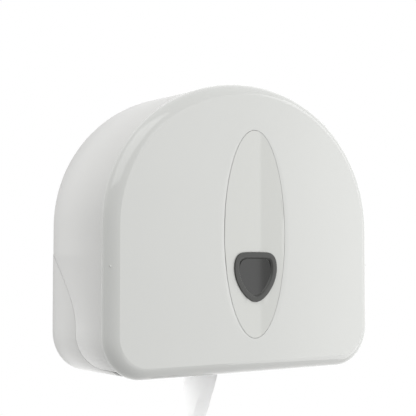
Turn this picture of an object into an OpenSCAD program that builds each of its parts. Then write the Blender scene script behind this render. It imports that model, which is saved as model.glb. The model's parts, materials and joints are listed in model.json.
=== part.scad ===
/* [Body] */
// Width of the dispenser over the front bead
body_w = 365; // [340:1:390]
// Height of the dispenser over the front bead
body_h = 320; // [312:1:340]
// Depth from the wall to the front at its left and right edge
body_d = 121; // [118:1:140]
// Height of the domed top above its widest line
dome_h = 159; // [150:1:170]
// Corner radius at the foot of the outline
corner_r = 47; // [40:1:52]
// Height of the spindle above the foot of the outline
spindle_h = 158; // [152:1:162]
// Thickness of the moulded walls
wall_t = 2.5; // [2:0.1:3]

/* [Front panel] */
// Radius of the rolled bead around the front
bead_r = 13; // [11:0.5:15]
// How far the bead stands out from the side wall
bead_proud = 1.5; // [1:0.1:2]
// How far the middle of the face bows forward of its sides
face_bow = 8; // [3:0.5:10]
// Thickness of the face
face_t = 2.5; // [2:0.1:3]

/* [Inlay] */
// Width of the oval inlay
inlay_w = 85; // [76:1:92]
// Height of the oval inlay
inlay_h = 229; // [200:1:240]
// Height of the inlay's middle above the foot of the outline
inlay_z = 153; // [145:1:158]
// Gap around the inlay
inlay_gap = 0.35; // [0.2:0.05:0.6]
// Width of the flange that holds the inlay from behind
inlay_lip = 5; // [3:0.5:8]
// Thickness of that flange
inlay_lip_t = 1.5; // [1:0.1:2]

/* [Window] */
// Width of the shield shaped window
window_w = 59; // [52:1:64]
// Height of the window
window_h = 55; // [50:1:60]
// Height of the window's top edge above the foot of the outline
window_z = 133; // [128:1:138]
// Width of the window's raised rim
window_rim = 7; // [5:0.5:9]
// How far the rim stands out from the face
window_proud = 1.6; // [1:0.1:2.5]
// Depth of the window's field below the rim
window_sink = 2.4; // [1.5:0.1:3]
// Thickness of the window's field
window_t = 1.6; // [1.2:0.1:2]
// Thickness of the ring that clamps the window
retainer_t = 2; // [1.5:0.1:3]

/* [Seam] */
// Height at which the seam of the cover meets the wall
seam_top = 131; // [124:1:138]
// How far the rear cheeks stand forward from the wall
cheek_d = 51; // [46:1:56]
// Height at which the cheeks reach that distance
cheek_h = 55; // [50:1:60]
// Height of the tray's edge along the foot
tray_h = 9; // [8:0.5:11]
// Gap between the cover and the fixed housing
cover_gap = 0.5; // [0.4:0.05:0.8]
// Gap between the cover's rear edge and the wall
wall_gap = 0.8; // [0.6:0.1:1.5]

/* [Hinge] */
// Distance of the hinge axis behind the joint of bead and side wall
hinge_back = 6; // [5.5:0.25:7]
// Height of the hinge axis above the foot of the outline
hinge_h = 9.5; // [9:0.25:10.5]
// Radius of the hinge pins
hinge_r = 3; // [2.5:0.1:3.2]
// Radial clearance of the hinge pins in the cover's lugs
hinge_fit = 0.06; // [0.04:0.01:0.1]
// Distance between the outer faces of the two hinge ears
hinge_span = 270; // [250:2:280]
// Thickness of the hinge ears and of the lugs
ear_t = 9; // [7:0.5:10]

/* [Paper] */
// Diameter of the paper roll
roll_d = 190; // [150:5:230]
// Width of the paper
paper_w = 84; // [80:1:85]
// Outer diameter of the cardboard core
core_d = 60; // [50:1:70]
// Thickness of the cardboard core
core_t = 1.6; // [1:0.1:2.5]
// Thickness of the hanging sheet
sheet_t = 0.5; // [0.4:0.05:0.8]
// Length of the sheet below the foot of the outline
tail_drop = 105; // [60:5:120]
// Distance of the hanging sheet left of the spindle at the exit
tail_x = 17; // [12:1:22]

/* [Spindle] */
// Radius of the spindle axle
axle_r = 8; // [6:0.5:10]
// Radial clearance of the core adapter on the axle
axle_fit = 0.06; // [0.04:0.01:0.1]
// Radius of the boss that carries the axle
boss_r = 22; // [18:1:26]
// Length of the boss in front of the back plate
boss_l = 2.4; // [2:0.1:3]
// Thickness of the brake washer
brake_t = 1.2; // [1:0.1:1.5]
// Radius of the retaining washer
retainer_r = 15; // [13:1:20]

/* [Mounting] */
// Width of the pattern of wall holes
hole_span_w = 220; // [210:2:230]
// Height of the pattern of wall holes
hole_span_h = 150; // [140:2:160]
// Radius of the wall holes
hole_r = 2.75; // [2.25:0.25:3.5]
// Thickness of the back plate
plate_t = 3; // [2.5:0.1:4]
// Depth of the rim around the back plate
rim_d = 14; // [10:1:20]

/* [Exit] */
// Width of the paper exit
exit_w = 70; // [60:1:90]
// Height of the upright edge beside the paper exit
exit_rim_h = 15; // [13:1:18]
// Thickness of the tear blades
blade_t = 1; // [0.8:0.1:1.5]
// Distance between two teeth of a tear blade
tooth_pitch = 4; // [3:0.5:6]
// Height of the teeth
tooth_h = 2.5; // [1.5:0.5:3]

/* [Lock] */
// Distance of the lock from the wall
lock_y = 38; // [34:1:44]
// Radius of the lock barrel
lock_r = 8; // [7:0.5:9]
// Radial clearance of the lock barrel
lock_fit = 0.06; // [0.04:0.01:0.1]
// Wall of the lock housing
lock_wall = 4; // [3:0.5:5]
// Length of the lock housing below the cover's wall
lock_l = 12; // [10:0.5:16]
// Reach of the cam from the lock's axis
cam_l = 16; // [14:0.5:18]
// Thickness of the cam
cam_t = 2.5; // [2:0.1:3]
// Width of the cam
cam_w = 8; // [6:0.5:9]
// Gap between the cam and the keeper
keeper_gap = 1; // [0.6:0.1:1.5]
// Thickness of the keeper's metal
keeper_t = 2.5; // [2:0.1:3]
// Height of the keeper
keeper_h = 12; // [10:1:14]

/* [Screws] */
// Radius of the screws' shanks
screw_r = 1.6; // [1.4:0.1:2]
// Radius of the screws' heads
head_r = 3.2; // [2.8:0.1:3.6]
// Height of the screws' heads
head_h = 2; // [1.6:0.1:2.4]
// How deep the panel's screws go into its bosses
panel_bite = 6; // [5:0.5:7]
// How deep the axle's screw goes
end_bite = 16; // [12:1:20]

/* [Hidden] */

foot = -spindle_h;
top = body_h - spindle_h;
dome_z = top - dome_h;
skin_in = bead_proud + wall_t;
joint_y = -(body_d - bead_r);
soft_gap = 0.3;
screw_play = 0.2;
shank_short = 0.4;
overlap = 1;
arc_steps = 8;
dome_steps = 48;
side_steps = 5;
foot_steps = 16;
curve_steps = 10;

white = [0.87, 0.87, 0.85];
satin = [0.84, 0.84, 0.82];
grey = [0.62, 0.62, 0.60];
dark = [0.24, 0.24, 0.25];
steel = [0.72, 0.72, 0.74];
paper = [0.95, 0.95, 0.94];
card = [0.68, 0.55, 0.40];

// Plane shapes
function arc(cx, cz, rx, rz, from, to, steps) =
    [for (i = [0 : steps]) let (a = from + (to - from) * i / steps) [cx + rx * cos(a), cz + rz * sin(a)]];

function bezier(a, b, c, d, steps) =
    [for (i = [0 : steps]) let (t = i / steps, u = 1 - t)
        a * u * u * u + b * 3 * u * u * t + c * 3 * u * t * t + d * t * t * t];

function body_outline(inset) =
    let (half = body_w / 2 - inset, r = corner_r - inset, low = foot + inset)
    concat(arc(half - r, low + r, r, r, -90, 0, arc_steps),
           arc(0, dome_z, half, dome_h - inset, 0, 180, dome_steps),
           arc(r - half, low + r, r, r, 180, 270, arc_steps));

// The same outline with points along its straight edges, for the skins
function edge_steps(i, last) =
    i == last ? foot_steps : i == arc_steps || i == arc_steps + dome_steps + 1 ? side_steps : 1;

function skin_outline(inset) =
    let (o = body_outline(inset), last = len(o) - 1)
    [for (i = [0 : last]) let (n = edge_steps(i, last), next = o[(i + 1) % (last + 1)])
        for (k = [0 : n - 1]) o[i] + (next - o[i]) * k / n];

module along_y(y_back, y_front) {
    translate([0, y_back, 0]) rotate([90, 0, 0]) linear_extrude(y_back - y_front) children();
}

module along_x(x_from, x_to) {
    translate([x_from, 0, 0]) rotate([90, 0, 90]) linear_extrude(x_to - x_from) children();
}

module rod_y(x, z, r, y_back, y_front) {
    translate([x, y_back, z]) rotate([90, 0, 0]) cylinder(r = r, h = y_back - y_front, $fn = 48);
}

module rod_x(y, z, r, x_from, x_to) {
    translate([x_from, y, z]) rotate([0, 90, 0]) cylinder(r = r, h = x_to - x_from, $fn = 48);
}

module body_slab(inset, y_back, y_front) {
    along_y(y_back, y_front) polygon(body_outline(inset));
}

module body_ring(outer, inner, y_back, y_front) {
    difference() {
        body_slab(outer, y_back, y_front);
        body_slab(inner, y_back + 1, y_front - 1);
    }
}

// The curved seam between the cover and the fixed housing, seen from the side
wall_pull = [20, 24];
cheek_pull = 23;
foot_pull = 33;
toe_pull = 6;
toe_run = 24;

function seam_line() =
    concat(bezier([1, foot + seam_top + 1], [-wall_pull[0], foot + seam_top - wall_pull[1]],
                  [-cheek_d, foot + cheek_h + cheek_pull], [-cheek_d, foot + cheek_h], curve_steps),
           bezier([-cheek_d, foot + cheek_h], [-cheek_d, foot + cheek_h - foot_pull],
                  [-cheek_d - toe_pull, foot + tray_h], [-cheek_d - toe_run, foot + tray_h], curve_steps));

module seam_side(shift, reach) {
    below = [[-reach, foot + tray_h], [-reach, foot - toe_run], [1, foot - toe_run]];
    translate([-shift, shift]) polygon(concat(seam_line(), below));
}

// The face is bowed from side to side: depth of a point of it
function bow_at(p) = face_bow * (1 - pow(2 * p[0] / body_w, 2));
function face_y(p) = -body_d - bow_at(p);

function oval_at(p, grow) =
    let (a = inlay_w / 2 + grow, b = inlay_h / 2 + grow, mid = foot + inlay_z,
         w = atan2((p[1] - mid) / b, p[0] / a))
    [a * cos(w), mid + b * sin(w)];

function on_face(points, back) = [for (p = points) [p[0], face_y(p) + back, p[1]]];

// A skin through rings of equal length, closed end to end or capped at both ends
function ring_faces(count, n, closed) =
    [for (k = [0 : count - (closed ? 1 : 2)]) for (i = [0 : n - 1])
        let (j = (i + 1) % n, m = (k + 1) % count) [k * n + i, k * n + j, m * n + j, m * n + i]];

module loft(rings, closed) {
    n = len(rings[0]);
    count = len(rings);
    caps = closed ? [] : [[for (i = [n - 1 : -1 : 0]) i], [for (i = [0 : n - 1]) (count - 1) * n + i]];
    points = [for (r = rings) for (p = r) p];
    polyhedron(points = points, faces = concat(ring_faces(count, n, closed), caps), convexity = 6);
}

// Screws that run along the depth of the body
module screw_y(x, z, y_seat, length) {
    rod_y(x, z, head_r, y_seat + head_h, y_seat);
    rod_y(x, z, screw_r, y_seat, y_seat - length);
}

// Fixed parts
flange_t = 2.5;
flange_w = 16;
flange_mid = skin_in + flange_w / 2;
side_screw_z = -60;
tray_screw_x = 110;
housing_screw_at = [for (sx = [-1, 1]) each
    [[sx * (body_w / 2 - flange_mid), side_screw_z], [sx * tray_screw_x, foot + flange_mid]]];
plate_play = 0.1;
plate_in = skin_in + cover_gap + plate_play;
rim_clear = 4;
rib_gap = 6;
rib_l = 34;
rib_t = 2;
adapter_back = -(plate_t + boss_l + brake_t + soft_gap);
adapter_front = adapter_back - paper_w;

module wall_hole_places() {
    for (sx = [-1, 1], sz = [-1, 1]) translate([sx * hole_span_w / 2, 0, sz * hole_span_h / 2]) children();
}

module back_plate() color(satin) difference() {
    union() {
        body_slab(plate_in, 0, -plate_t);
        intersection() {
            body_ring(plate_in, plate_in + wall_t, -plate_t, -rim_d);
            translate([-body_w, -rim_d, foot + seam_top + rim_clear]) cube([2 * body_w, rim_d, body_h]);
        }
        rod_y(0, 0, boss_r, -plate_t, -plate_t - boss_l);
        for (a = [0 : 60 : 300]) rotate([0, a, 0])
            translate([boss_r + rib_gap, -plate_t - rib_t, -rib_t / 2]) cube([rib_l, rib_t, rib_t]);
    }
    rod_y(0, 0, axle_r, 0, -plate_t - boss_l - 1);
    wall_hole_places() rod_y(0, 0, hole_r, 1, -plate_t - 1);
    for (p = housing_screw_at) rod_y(p[0], p[1], screw_r, 1, -plate_t - 1);
    for (x = keeper_screw_x) rod_y(x, keeper_mid, screw_r, 1, -plate_t - 1);
}

tray_clear = 5;
tray_front = joint_y + 2 * hinge_back + tray_clear;
hinge_y = joint_y + hinge_back;
hinge_z = foot + hinge_h;
ear_r = 5.6;
ear_low = 4;
ear_reach = 8;
ear_x = hinge_span / 2 - ear_t;
lug_x = hinge_span / 2 + soft_gap;
exit_back = -(plate_t + flange_t + overlap);

module housing_walls() intersection() {
    body_ring(bead_proud, skin_in, 0, joint_y + cover_gap);
    along_x(-body_w, body_w) seam_side(0, body_d);
}

module hinge_ear() {
    rod_x(hinge_y, hinge_z, ear_r, ear_x, ear_x + ear_t);
    translate([ear_x, hinge_y, hinge_z - ear_low])
        cube([ear_t, tray_front - hinge_y + ear_reach, ear_low + ear_r]);
    translate([ear_x, tray_front, foot + bead_proud]) cube([ear_t, ear_reach, hinge_h - bead_proud]);
}

module both_sides() {
    children();
    mirror([1, 0, 0]) children();
}

module lower_housing() color(satin) difference() {
    union() {
        difference() {
            housing_walls();
            translate([-body_w, joint_y - 1, foot - 1])
                cube([2 * body_w, tray_front - joint_y + 1, corner_r]);
        }
        intersection() {
            body_ring(skin_in - overlap, skin_in + flange_w, -plate_t, -plate_t - flange_t);
            along_x(-body_w, body_w) translate([0, -2 * overlap]) seam_side(0, body_d);
        }
        both_sides() {
            hinge_ear();
            translate([exit_w / 2, tray_front, foot + bead_proud])
                cube([wall_t, exit_back - tray_front, exit_rim_h]);
        }
    }
    translate([-exit_w / 2, tray_front - 1, foot - 1])
        cube([exit_w, exit_back - tray_front + 1, 2 * exit_rim_h]);
    for (p = housing_screw_at) rod_y(p[0], p[1], screw_r + screw_play, 0, -plate_t - flange_t - 1);
    both_sides() rod_x(hinge_y, hinge_z, hinge_r, ear_x - 1, ear_x + ear_t + 1);
    for (y = blade_screw_y) both_sides()
        rod_x(y, blade_screw_z, screw_r, exit_w / 2 - 1, exit_w / 2 + wall_t + 1);
}

module housing_screws() color(steel) for (p = housing_screw_at)
    translate([p[0], -plate_t - flange_t, p[1]]) mirror([0, 1, 0]) {
        rod_y(0, 0, head_r, head_h, 0);
        rod_y(0, 0, screw_r, 0, -flange_t - plate_t + shank_short);
    }

axle_end = adapter_front - overlap;
washer_t = 1.5;

module spindle_axle() color(steel) difference() {
    rod_y(0, 0, axle_r, -shank_short, axle_end);
    rod_y(0, 0, screw_r, axle_end + end_bite + 2, axle_end - 1);
}

brake_r = boss_r - 3;

module brake_washer() color(dark) difference() {
    rod_y(0, 0, brake_r, -plate_t - boss_l, -plate_t - boss_l - brake_t);
    rod_y(0, 0, axle_r + screw_play, 0, -plate_t - boss_l - brake_t - 1);
}

module axle_washer() color(steel) difference() {
    rod_y(0, 0, retainer_r, axle_end, axle_end - washer_t);
    rod_y(0, 0, screw_r + screw_play, axle_end + 1, axle_end - washer_t - 1);
}

module axle_screw() color(steel) {
    rod_y(0, 0, 1.5 * head_r, axle_end - washer_t, axle_end - washer_t - head_h);
    rod_y(0, 0, screw_r, axle_end + end_bite, axle_end - washer_t);
}

// Tear blades stand against the upright edges of the paper exit
blade_inset = 2;
blade_screw_drop = 5;
blade_screw_inset = 10;
blade_front = tray_front + blade_inset;
blade_back = exit_back - blade_inset;
blade_low = foot + bead_proud + tooth_h;
blade_high = foot + bead_proud + exit_rim_h;
blade_screw_z = blade_high - blade_screw_drop;
blade_screw_y = [blade_front + blade_screw_inset, blade_back - blade_screw_inset];

function teeth(count, pitch) =
    [for (i = [0 : 2 * count]) [blade_back - i * pitch / 2, blade_low - (i % 2) * tooth_h]];

module tear_blade() {
    count = floor((blade_back - blade_front) / tooth_pitch);
    difference() {
        along_x(exit_w / 2 - blade_t, exit_w / 2)
            polygon(concat(teeth(count, (blade_back - blade_front) / count),
                           [[blade_front, blade_high], [blade_back, blade_high]]));
        for (y = blade_screw_y)
            rod_x(y, blade_screw_z, screw_r + screw_play, exit_w / 2 - blade_t - 1, exit_w / 2 + 1);
    }
}

module tear_blade_right() color(steel) tear_blade();

module tear_blade_left() color(steel) mirror([1, 0, 0]) tear_blade();

module blade_screws() color(steel) for (y = blade_screw_y) both_sides() {
    rod_x(y, blade_screw_z, 0.8 * head_r, exit_w / 2 - blade_t - 0.7 * head_h, exit_w / 2 - blade_t);
    rod_x(y, blade_screw_z, screw_r, exit_w / 2 - blade_t, exit_w / 2 + wall_t);
}

// The keeper is a bent bracket that the lock's cam turns behind
cover_top = top - skin_in;
housing_low = cover_top - lock_l;
barrel_low = housing_low - overlap;
keeper_drop = 1.5;
keeper_high = housing_low - keeper_drop;
keeper_mid = keeper_high - keeper_h / 2;
keeper_arm_x = cam_l + 3 * keeper_gap;
keeper_lip_x = cam_w / 2 + 5 * keeper_gap;
keeper_lip_y = -lock_y - cam_w / 2 - keeper_gap;
keeper_foot_w = 24;
keeper_screw_x = [keeper_arm_x + keeper_foot_w / 3, keeper_arm_x + keeper_foot_w * 3 / 4];

module latch_keeper() color(steel) difference() {
    translate([0, 0, keeper_high - keeper_h]) {
        translate([keeper_arm_x, keeper_lip_y - keeper_t, 0])
            cube([keeper_t, -plate_t - keeper_lip_y + keeper_t, keeper_h]);
        translate([keeper_lip_x, keeper_lip_y - keeper_t, 0])
            cube([keeper_arm_x - keeper_lip_x + overlap, keeper_t, keeper_h]);
        translate([keeper_arm_x, -plate_t - keeper_t, 0]) cube([keeper_foot_w, keeper_t, keeper_h]);
    }
    for (x = keeper_screw_x) rod_y(x, keeper_mid, screw_r + screw_play, 0, -plate_t - keeper_t - 1);
}

module keeper_screws() color(steel) for (x = keeper_screw_x)
    translate([x, -plate_t - keeper_t, keeper_mid]) mirror([0, 1, 0]) {
        rod_y(0, 0, head_r, head_h, 0);
        rod_y(0, 0, screw_r, 0, -keeper_t - plate_t + shank_short);
    }

module hinge_pins() color(steel) both_sides() {
    rod_x(hinge_y, hinge_z, hinge_r, ear_x, lug_x + ear_t);
    rod_x(hinge_y, hinge_z, 1.5 * hinge_r, ear_x - hinge_r / 2, ear_x);
}

// The sheet leaves the roll on the right, curls under it and hangs through the exit
tail_lean = 16;
tail_bow = 0.8;
curl_from = [30, 40];
curl_to = [4, -6];
tail_start_r = roll_d / 2 + soft_gap + sheet_t / 2;
exit_point = [-tail_x, foot];
exit_reach = norm(exit_point);
leave_angle = atan2(exit_point[1], exit_point[0]) + acos(tail_start_r / exit_reach);
leave_point = tail_start_r * [cos(leave_angle), sin(leave_angle)];
tail_end = [-tail_x - tail_drop * sin(tail_lean) * tail_bow, foot - tail_drop];

function tail_line(shift) =
    let (from = exit_point + curl_from, to = exit_point + curl_to)
    [for (p = bezier(leave_point, from, to, tail_end, 3 * curve_steps)) p + [shift, 0]];

function backwards(points) = [for (i = [len(points) - 1 : -1 : 0]) points[i]];

module paper_tail() color(paper)
    along_y(adapter_back, adapter_front)
        polygon(concat(tail_line(-sheet_t / 2), backwards(tail_line(sheet_t / 2))));

// Roll
core_r = core_d / 2;
adapter_wall = 2.4;
adapter_r = core_r - core_t;
disc_t = 3;
disc_at = [0, (paper_w - disc_t) / 2, paper_w - disc_t];

module core_adapter() color(dark) difference() {
    union() {
        rod_y(0, 0, axle_r + axle_fit + adapter_wall, adapter_back, adapter_front);
        for (d = disc_at) rod_y(0, 0, adapter_r, adapter_back - d, adapter_back - d - disc_t);
    }
    rod_y(0, 0, axle_r + axle_fit, adapter_back + 1, adapter_front - 1);
}

module cardboard_core() color(card) difference() {
    rod_y(0, 0, core_r, adapter_back, adapter_front);
    rod_y(0, 0, adapter_r, adapter_back + 1, adapter_front - 1);
}

module paper_roll() color(paper) difference() {
    rod_y(0, 0, roll_d / 2, adapter_back, adapter_front);
    rod_y(0, 0, core_r, adapter_back + 1, adapter_front - 1);
}

// Cover
tab_y = joint_y + wall_t;
tab_in = 11;
tab_r = 8;
tab_side_z = -40;
tab_dome_a = 50;
lock_collar = 1;
tab_at = [for (sx = [-1, 1]) each [[sx * (body_w / 2 - tab_in), tab_side_z],
          [sx * (body_w / 2 - tab_in) * cos(tab_dome_a), dome_z + (dome_h - tab_in) * sin(tab_dome_a)]]];

module cover_shell() color(satin) difference() {
    union() {
        difference() {
            body_ring(bead_proud, skin_in, -wall_gap, joint_y);
            along_x(-body_w, body_w) seam_side(cover_gap, 2 * body_d);
        }
        intersection() {
            body_slab(skin_in - wall_t / 4, tab_y, joint_y);
            for (p = tab_at) rod_y(p[0], p[1], tab_r, 0, joint_y);
        }
    }
    for (p = tab_at) rod_y(p[0], p[1], screw_r + screw_play, 0, joint_y - 1);
    translate([0, -lock_y, housing_low]) cylinder(r = lock_r + lock_collar, h = 2 * lock_l, $fn = 48);
}

bead_turns = [for (i = [0 : 8]) 90 * i / 8];
function bead_curve(points, turn, depth) =
    [for (p = points) [p[0], joint_y - (depth + bow_at(p)) * sin(turn), p[1]]];
function bead_ring(turn) = bead_curve(skin_outline(bead_r - bead_r * cos(turn)), turn, bead_r);
function bead_inner_ring(turn) =
    bead_curve(skin_outline(bead_r - (bead_r - skin_in) * cos(turn)), turn, bead_r - face_t);
function mix(a, b, t) = [for (i = [0 : len(a) - 1]) a[i] * (1 - t) + b[i] * t];

face_edge = skin_outline(bead_r);
hole_edge = [for (p = face_edge) oval_at(p, 0)];
face_shares = [0.12, 0.25, 0.4, 0.55, 0.7, 0.85, 1];

// Bosses and lugs end inside the wall of the bead, which follows the bow
function boss_end(p) = joint_y - bead_r + 0.8 * (face_t - bow_at(p));

front_rings = concat([for (s = backwards(face_shares)) on_face(mix(face_edge, hole_edge, s), 0)],
                     [for (t = backwards(bead_turns)) bead_ring(t)]);
back_rings = concat([for (t = bead_turns) bead_inner_ring(t)],
                    [for (s = face_shares) on_face(mix(face_edge, hole_edge, s), face_t)]);

module front_panel() color(white) difference() {
    union() {
        loft(concat(front_rings, back_rings), true);
        for (p = tab_at) rod_y(p[0], p[1], head_r + 1, joint_y, boss_end(p));
        both_sides() hinge_lug();
    }
    for (p = tab_at) rod_y(p[0], p[1], screw_r, joint_y + 1, joint_y - panel_bite - 1);
    both_sides() rod_x(hinge_y, hinge_z, hinge_r + hinge_fit, lug_x - 1, lug_x + ear_t + 1);
}

module hinge_lug() {
    lug_end = boss_end([lug_x + ear_t, hinge_z]);
    rod_x(hinge_y, hinge_z, ear_r, lug_x, lug_x + ear_t);
    translate([lug_x, lug_end, hinge_z - ear_r / 3]) cube([ear_t, hinge_y - lug_end, ear_r * 4 / 3]);
}

module panel_screws() color(steel) for (p = tab_at) screw_y(p[0], p[1], tab_y, wall_t + panel_bite);

inlay_shares = [0.04, 0.25, 0.5, 0.75];
lip_gap = 0.2;
lip_back = face_t + inlay_lip_t;
inlay_mid = [0, foot + inlay_z];
inlay_edge = [for (p = face_edge) oval_at(p, -inlay_gap)];
lip_edge = [for (p = face_edge) oval_at(p, inlay_lip)];
function shrunk(ring, share) = [for (p = ring) inlay_mid + (p - inlay_mid) * share];

module inlay_panel() color(white) difference() {
    loft(concat([for (s = inlay_shares) on_face(shrunk(inlay_edge, s), 0)],
                [on_face(inlay_edge, 0), on_face(inlay_edge, face_t + lip_gap),
                 on_face(lip_edge, face_t + lip_gap), on_face(lip_edge, lip_back)],
                [for (s = backwards(inlay_shares)) on_face(shrunk(lip_edge, s), lip_back)]), false);
    window_layer(-window_seat, body_d / 6, -body_d / 6);
}

// The shield outline: flat top, round shoulders and a rounded point below
window_seat = 3;
window_fit = 0.2;
window_mid = foot + window_z - window_h / 2;
window_y = -body_d - face_bow;
window_back = lip_back + soft_gap;

function half_shield(w, h) =
    let (shoulder = [w * 0.27, -h * 0.008], side = [w * 0.5, -h * 0.33], tip = [0, -h])
    concat(bezier([0, 0], [w * 0.2, 0], [w * 0.22, 0], shoulder, 3),
           bezier(shoulder, [w * 0.43, -h * 0.02], [w * 0.5, -h * 0.13], side, curve_steps),
           bezier(side, [w * 0.5, -h * 0.66], [w * 0.2, -h], tip, 2 * curve_steps));

module shield(grow) {
    half = half_shield(window_w + 2 * grow, window_h + 2 * grow);
    left = [for (i = [len(half) - 2 : -1 : 1]) [-half[i][0], half[i][1]]];
    translate([0, window_h / 2 + grow]) polygon(concat(half, left));
}

// A shield shaped layer, measured back from the middle of the face
module window_layer(grow, back, front) {
    translate([0, window_y, window_mid]) along_y(back, front) shield(grow);
}

module window_lens() color(dark) difference() {
    union() {
        window_layer(0, -soft_gap, -window_proud);
        window_layer(-window_seat - window_fit, window_back, -window_proud / 2);
    }
    window_layer(-window_rim, window_sink - window_proud, -window_proud - 1);
    window_layer(-window_rim, window_back + 1, window_sink - window_proud + window_t);
}

module window_retainer() color(grey) difference() {
    window_layer(window_seat, window_back + retainer_t, window_back);
    window_layer(-window_rim, window_back + 2 * retainer_t, 0);
}

// Lock in the top of the cover
module lock_housing() color(grey) difference() {
    intersection() {
        translate([0, -lock_y, housing_low]) cylinder(r = lock_r + lock_wall, h = lock_l, $fn = 48);
        body_slab(skin_in + plate_play, 0, -body_d);
    }
    translate([0, -lock_y, housing_low - 1]) cylinder(r = lock_r + lock_fit, h = lock_l + 2, $fn = 48);
}

barrel_high = cover_top + 2;
key_w = 10;
key_t = 2;
key_deep = 4;
cam_bite = 7;

module lock_barrel() color(steel) difference() {
    translate([0, -lock_y, barrel_low]) cylinder(r = lock_r, h = barrel_high - barrel_low, $fn = 48);
    translate([-key_w / 2, -lock_y - key_t / 2, barrel_high - key_deep]) cube([key_w, key_t, 2 * key_deep]);
    translate([0, -lock_y, barrel_low - 1]) cylinder(r = screw_r, h = cam_bite + 1, $fn = 48);
}

module lock_cam() color(steel) difference() {
    translate([0, -lock_y, barrel_low - cam_t]) {
        cylinder(r = cam_w / 2 + overlap, h = cam_t, $fn = 48);
        translate([-cam_w / 2, 0, 0]) cube([cam_w, cam_l, cam_t]);
    }
    translate([0, -lock_y, barrel_low - 2 * cam_t])
        cylinder(r = screw_r + screw_play, h = 3 * cam_t, $fn = 48);
}

module cam_screw() color(steel) translate([0, -lock_y, barrel_low - cam_t]) {
    translate([0, 0, -head_h]) cylinder(r = head_r, h = head_h, $fn = 48);
    cylinder(r = screw_r, h = cam_t + cam_bite - 1, $fn = 48);
}

back_plate();
lower_housing();
housing_screws();
spindle_axle();
brake_washer();
axle_washer();
axle_screw();
tear_blade_left();
tear_blade_right();
blade_screws();
latch_keeper();
keeper_screws();
hinge_pins();
paper_tail();
core_adapter();
cardboard_core();
paper_roll();
cover_shell();
front_panel();
panel_screws();
inlay_panel();
window_lens();
window_retainer();
lock_housing();
lock_barrel();
lock_cam();
cam_screw();
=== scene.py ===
# Jumbo toilet roll dispenser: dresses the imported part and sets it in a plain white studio
import json
import math

import bmesh
import bpy
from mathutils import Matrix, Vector, noise

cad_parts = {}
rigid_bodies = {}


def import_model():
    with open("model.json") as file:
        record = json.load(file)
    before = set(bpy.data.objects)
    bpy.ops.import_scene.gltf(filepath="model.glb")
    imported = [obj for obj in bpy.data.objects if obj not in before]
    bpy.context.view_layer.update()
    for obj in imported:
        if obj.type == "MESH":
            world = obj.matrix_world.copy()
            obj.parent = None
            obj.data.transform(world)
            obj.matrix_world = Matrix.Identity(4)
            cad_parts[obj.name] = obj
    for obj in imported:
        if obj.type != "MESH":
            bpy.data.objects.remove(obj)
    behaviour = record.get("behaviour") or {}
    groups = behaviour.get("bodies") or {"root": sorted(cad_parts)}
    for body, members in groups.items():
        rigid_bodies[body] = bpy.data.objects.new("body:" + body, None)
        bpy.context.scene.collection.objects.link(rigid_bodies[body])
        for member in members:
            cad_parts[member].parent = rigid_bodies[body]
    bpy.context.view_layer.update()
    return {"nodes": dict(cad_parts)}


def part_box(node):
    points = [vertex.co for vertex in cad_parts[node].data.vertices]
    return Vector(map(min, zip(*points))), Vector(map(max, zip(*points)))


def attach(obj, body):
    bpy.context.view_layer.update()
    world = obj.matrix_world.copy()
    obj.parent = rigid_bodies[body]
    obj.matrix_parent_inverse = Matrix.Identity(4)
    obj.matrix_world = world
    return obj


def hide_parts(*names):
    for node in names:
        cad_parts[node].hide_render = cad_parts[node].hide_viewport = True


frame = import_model()
print("frame loaded:", len(frame["nodes"]), "nodes")

mm = 0.001
tiny = 0.02 * mm  # points closer than this count as one place
overlap = 1 * mm  # how far joined parts and cutters run past each other


# Small tools for working in object and edit mode
def clearSelection():
    if bpy.context.object and bpy.context.object.mode != "OBJECT":
        bpy.ops.object.mode_set(mode="OBJECT")
    for thing in bpy.context.view_layer.objects:
        thing.select_set(False)


def activate(piece):
    clearSelection()
    piece.select_set(True)
    bpy.context.view_layer.objects.active = piece


def startEdit(piece):
    activate(piece)
    bpy.ops.object.mode_set(mode="EDIT")


def endEdit():
    bpy.ops.object.mode_set(mode="OBJECT")


def pick(kind, test):  # selects each vertex, edge or face whose corners all pass the test
    bpy.ops.mesh.select_mode(type=kind)
    bpy.ops.mesh.select_all(action="DESELECT")
    mesh = editMesh()
    parts = {"VERT": mesh.verts, "EDGE": mesh.edges, "FACE": mesh.faces}[kind]
    for part in parts:
        corners = [part] if kind == "VERT" else part.verts
        if all(test(corner.co) for corner in corners):
            part.select_set(True)
    mesh.select_flush_mode()
    bmesh.update_edit_mesh(bpy.context.object.data)


def editMesh():
    return bmesh.from_edit_mesh(bpy.context.object.data)


def selectAll():
    bpy.ops.mesh.select_all(action="SELECT")


def countPicked():
    return sum(1 for vertex in editMesh().verts if vertex.select)


def takeNew(name):  # the object that was just added or joined
    piece = bpy.context.object
    piece.name = name
    return piece


def addObject(name, data):
    thing = bpy.data.objects.new(name, data)
    bpy.context.scene.collection.objects.link(thing)
    return thing


def applyPlace(piece):
    activate(piece)
    bpy.ops.object.transform_apply(location=True, rotation=True, scale=True)


def applyModifier(piece, kind, **settings):
    activate(piece)
    modifier = piece.modifiers.new(kind.lower(), kind)
    for name, value in settings.items():
        setattr(modifier, name, value)
    bpy.ops.object.modifier_apply(modifier=modifier.name)


def thicken(piece, thickness):  # the wall grows inwards
    applyModifier(piece, "SOLIDIFY", thickness=thickness, offset=-1, use_even_offset=True, use_rim=True)


def cutAway(piece, cutter, operation="DIFFERENCE"):
    applyModifier(piece, "BOOLEAN", object=cutter, operation=operation, solver="EXACT")
    bpy.data.objects.remove(cutter)


def softenEdges(piece, width, segments=2, angle=35):
    applyModifier(
        piece, "BEVEL", width=width, segments=segments, limit_method="ANGLE",
        angle_limit=math.radians(angle), use_clamp_overlap=True, harden_normals=False)


def smooth(piece, angle=35):
    activate(piece)
    bpy.ops.object.shade_smooth_by_angle(angle=math.radians(angle))


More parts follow.
